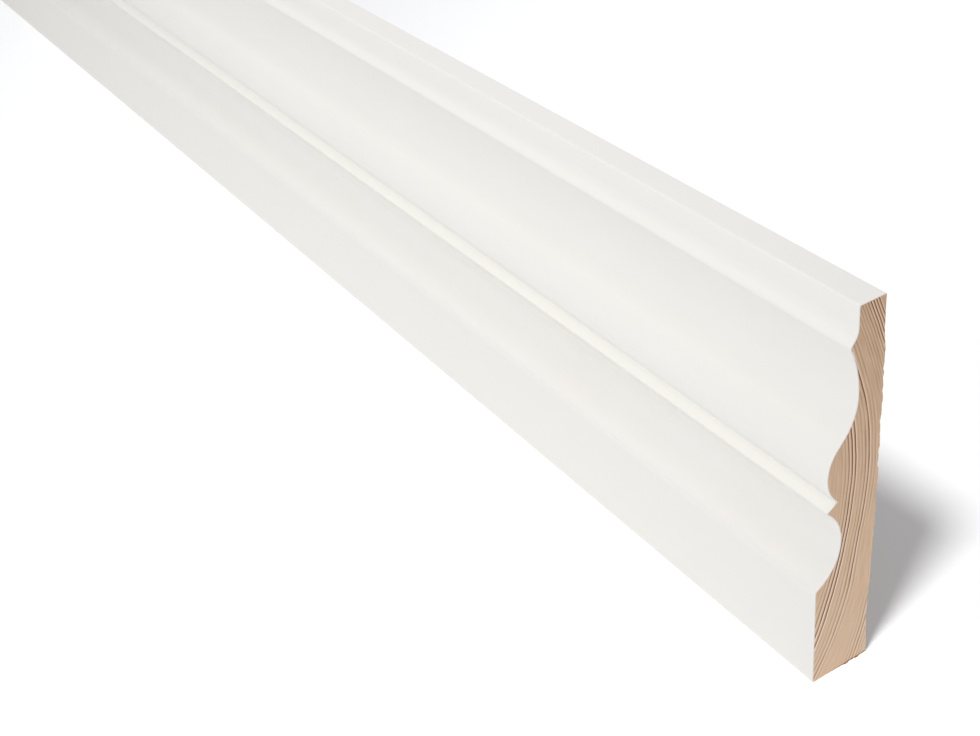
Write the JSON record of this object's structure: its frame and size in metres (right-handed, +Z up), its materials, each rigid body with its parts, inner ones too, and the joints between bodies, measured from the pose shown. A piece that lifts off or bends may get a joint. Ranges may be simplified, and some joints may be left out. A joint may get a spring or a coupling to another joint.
{
  "type": "skirting board",
  "caption": "Straight length of tall moulded skirting board in white-painted pine: flat plinth, cove, ogee and slim top edge on the front, flat back, ends cut square.",
  "frame": {"origin": "middle of the underside, at the board's bounding box bottom centre", "axes": "+X along the board, +Y from the moulded front to the flat back and so to the wall, +Z up"},
  "size_m": [0.8, 0.02, 0.12],
  "materials": {
    "painted_pine": "satin white paint on the front and top, bare pine on the back, underside and sawn ends"
  },
  "bodies": {
    "root": {"skirting_board": "painted_pine"}
  },
  "joints": []
}
